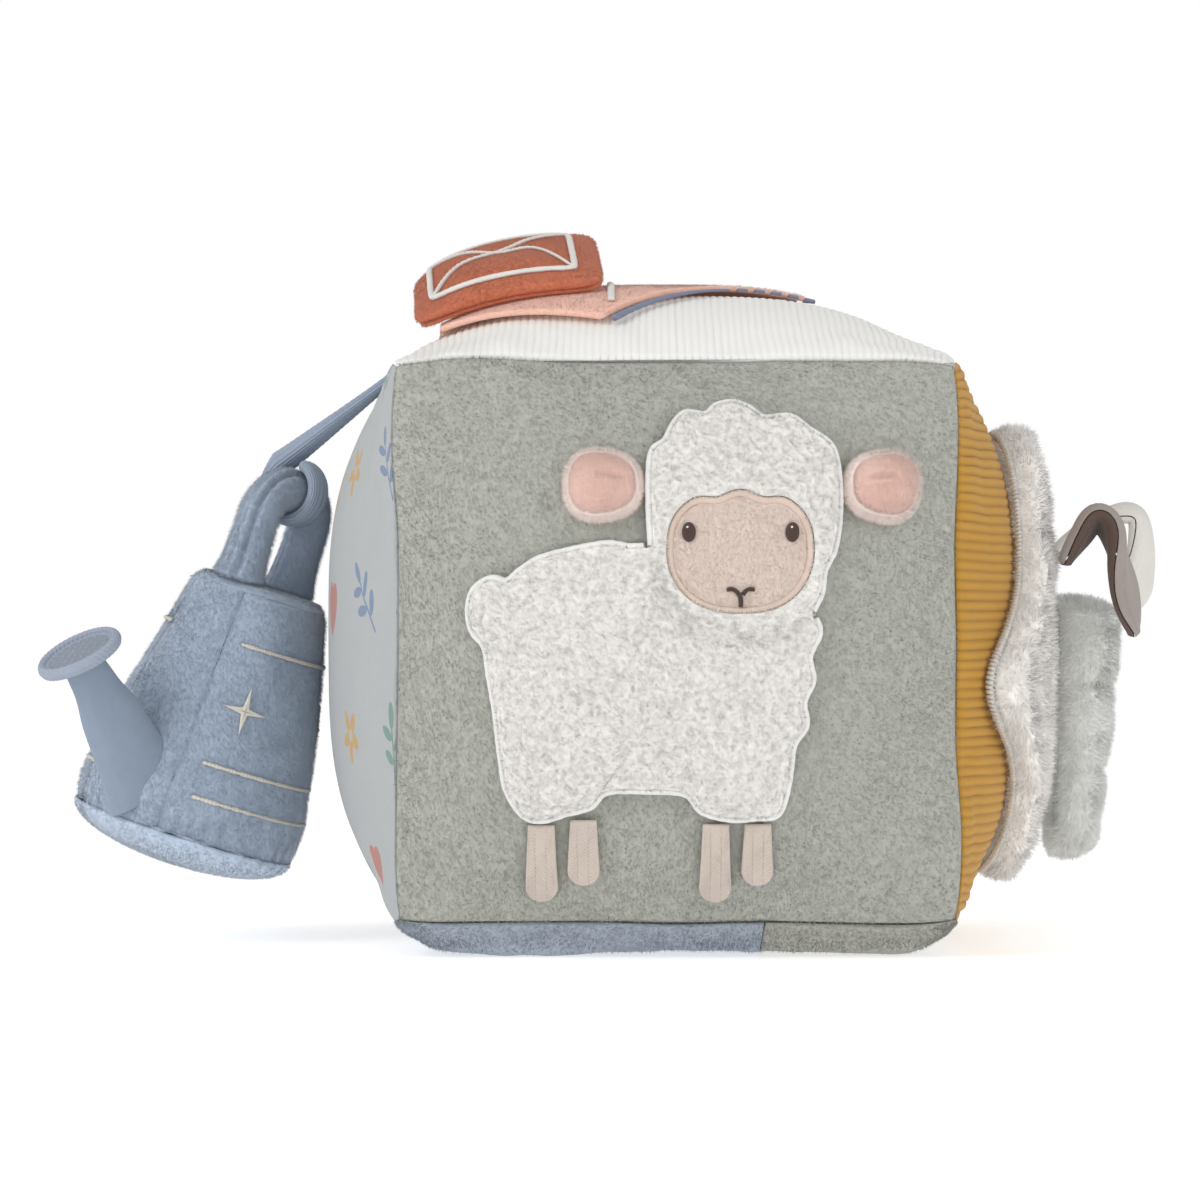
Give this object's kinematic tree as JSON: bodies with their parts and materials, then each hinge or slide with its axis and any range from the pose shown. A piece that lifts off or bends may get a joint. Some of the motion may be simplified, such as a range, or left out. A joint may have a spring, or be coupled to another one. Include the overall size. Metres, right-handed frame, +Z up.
{
  "type": "soft fabric activity block",
  "caption": "Soft stuffed fabric activity block with a sheep on the front, a barn door flap on top, a plush wing and leaves at one side and a small padded watering can on a strap.",
  "frame": {"origin": "middle of the flat resting face on the floor", "axes": "+Z up from the floor, -Y out of the sheep panel, -X towards the hanging can, +X towards the plush wing"},
  "size_m": [0.3064, 0.1932, 0.1953],
  "materials": {
    "sage_plush": "short pile plush",
    "printed_jersey": "smooth printed cotton jersey",
    "mustard_corduroy": "ribbed corduroy",
    "white_corduroy": "fine ribbed corduroy",
    "light_blue_plush": "short pile plush",
    "bottom_sage_plush": "short pile plush",
    "wadding": "loose polyester wadding",
    "capsule_plastic": "moulded",
    "bead_plastic": "moulded",
    "cream_teddy": "curly teddy pile",
    "cream_thread": "satin stitch",
    "face_velour": "smooth velour",
    "face_thread": "satin stitch",
    "leg_thread": "satin stitch",
    "dark_thread": "satin stitch",
    "ear_cream_plush": "short pile plush",
    "ear_pink_velour": "smooth velour",
    "salmon_velour": "smooth velour",
    "slate_thread": "satin stitch",
    "white_thread": "satin stitch",
    "rust_velour": "smooth velour",
    "pink_long_pile": "long pile plush",
    "grey_long_pile": "long pile plush",
    "wing_backing_velour": "smooth velour",
    "taupe_velour": "smooth velour",
    "brown_lining": "plain woven lining",
    "cream_jersey": "smooth jersey",
    "can_blue_velour": "short pile velour",
    "can_base_velour": "short pile velour",
    "spout_felt": "smooth felt",
    "rose_jersey": "smooth jersey",
    "strap_knit": "ribbed knit tape",
    "stripe_thread": "satin stitch"
  },
  "bodies": {
    "block": {"panel_front": "sage_plush", "panel_back": "sage_plush", "panel_left": "printed_jersey", "panel_right": "mustard_corduroy", "panel_top": "white_corduroy", "panel_bottom_blue": "light_blue_plush", "panel_bottom_sage": "bottom_sage_plush", "fill_lower": "wadding", "fill_upper": "wadding", "rattle_shell_lower": "capsule_plastic", "rattle_shell_upper": "capsule_plastic", "sheep_body": "cream_teddy", "sheep_body_border": "cream_thread", "sheep_head": "cream_teddy", "sheep_head_border": "cream_thread", "sheep_face": "face_velour", "sheep_face_border": "face_thread", "sheep_leg_1": "leg_thread", "sheep_leg_2": "leg_thread", "sheep_leg_3": "leg_thread", "sheep_leg_4": "leg_thread", "sheep_eye_left": "dark_thread", "sheep_eye_right": "dark_thread", "sheep_nose": "dark_thread", "barn_wall": "salmon_velour", "barn_roof_cord": "slate_thread", "barn_trim": "white_thread", "plush_field": "pink_long_pile", "field_edge_cord": "white_thread"},
    "bead_1": {"rattle_bead_1": "bead_plastic"},
    "bead_2": {"rattle_bead_2": "bead_plastic"},
    "bead_3": {"rattle_bead_3": "bead_plastic"},
    "ear_left": {"ear_left_back": "ear_cream_plush", "ear_left_front": "ear_pink_velour"},
    "ear_right": {"ear_right_back": "ear_cream_plush", "ear_right_front": "ear_pink_velour"},
    "door": {"door_back": "rust_velour", "door_front": "rust_velour", "door_padding": "wadding", "door_cord": "white_thread"},
    "wing": {"wing_front": "grey_long_pile", "wing_backing": "wing_backing_velour"},
    "leaf_near": {"leaf_near_front": "taupe_velour", "leaf_near_back": "brown_lining"},
    "leaf_far": {"leaf_far_front": "cream_jersey", "leaf_far_back": "cream_jersey"},
    "strap": {"can_strap": "strap_knit"},
    "can": {"can_wall": "can_blue_velour", "can_base": "can_base_velour", "can_top": "can_blue_velour", "can_fill": "wadding", "can_handle": "can_blue_velour", "can_spout": "spout_felt", "can_rose": "rose_jersey", "can_band_1": "stripe_thread", "can_band_2": "stripe_thread", "can_band_3": "stripe_thread", "can_star_1": "stripe_thread", "can_star_2": "stripe_thread"}
  },
  "joints": [
    {"name": "bead_1_slide", "type": "slide", "parent": "block", "child": "bead_1", "axis": [0, 0, 1], "range_m": [0, 0.0175]},
    {"name": "bead_2_slide", "type": "slide", "parent": "block", "child": "bead_2", "axis": [0, 0, 1], "range_m": [0, 0.0175]},
    {"name": "bead_3_slide", "type": "slide", "parent": "block", "child": "bead_3", "axis": [0, 0, 1], "range_m": [0, 0.0175]},
    {"name": "ear_left_fold", "type": "hinge", "parent": "block", "child": "ear_left", "pos_m": [-0.00977, -0.09547, 0.12437], "axis": [0, 0, 1], "range_deg": [0, 80], "stiffness_Nm_per_rad": 0.0004},
    {"name": "ear_right_fold", "type": "hinge", "parent": "block", "child": "ear_right", "pos_m": [0.04452, -0.09262, 0.12434], "axis": [0, 0, -1], "range_deg": [0, 80], "stiffness_Nm_per_rad": 0.0004},
    {"name": "door_hinge", "type": "hinge", "parent": "block", "child": "door", "pos_m": [-0.0438, -0.04685, 0.17489], "axis": [0.9757, 0.001, 0.2192], "range_deg": [-18, 95]},
    {"name": "wing_lift", "type": "hinge", "parent": "block", "child": "wing", "pos_m": [0.10467, 0, 0.0938], "axis": [0, -1, 0], "range_deg": [0, 90]},
    {"name": "leaf_near_bend", "type": "hinge", "parent": "block", "child": "leaf_near", "pos_m": [0.10472, -0.035, 0.10355], "axis": [0, 1, 0], "range_deg": [-25, 25], "stiffness_Nm_per_rad": 0.002},
    {"name": "leaf_far_bend", "type": "hinge", "parent": "block", "child": "leaf_far", "pos_m": [0.1048, 0.035, 0.1013], "axis": [0, 1, 0], "range_deg": [-25, 25], "stiffness_Nm_per_rad": 0.002},
    {"name": "strap_hinge", "type": "hinge", "parent": "block", "child": "strap", "pos_m": [-0.07451, -0.0061, 0.15781], "axis": [0, 1, 0], "range_deg": [0, 90]},
    {"name": "can_swing", "type": "hinge", "parent": "strap", "child": "can", "pos_m": [-0.10457, -0.006, 0.12383], "axis": [0.4755, 0.866, -0.1545], "range_deg": [0, 45]}
  ]
}
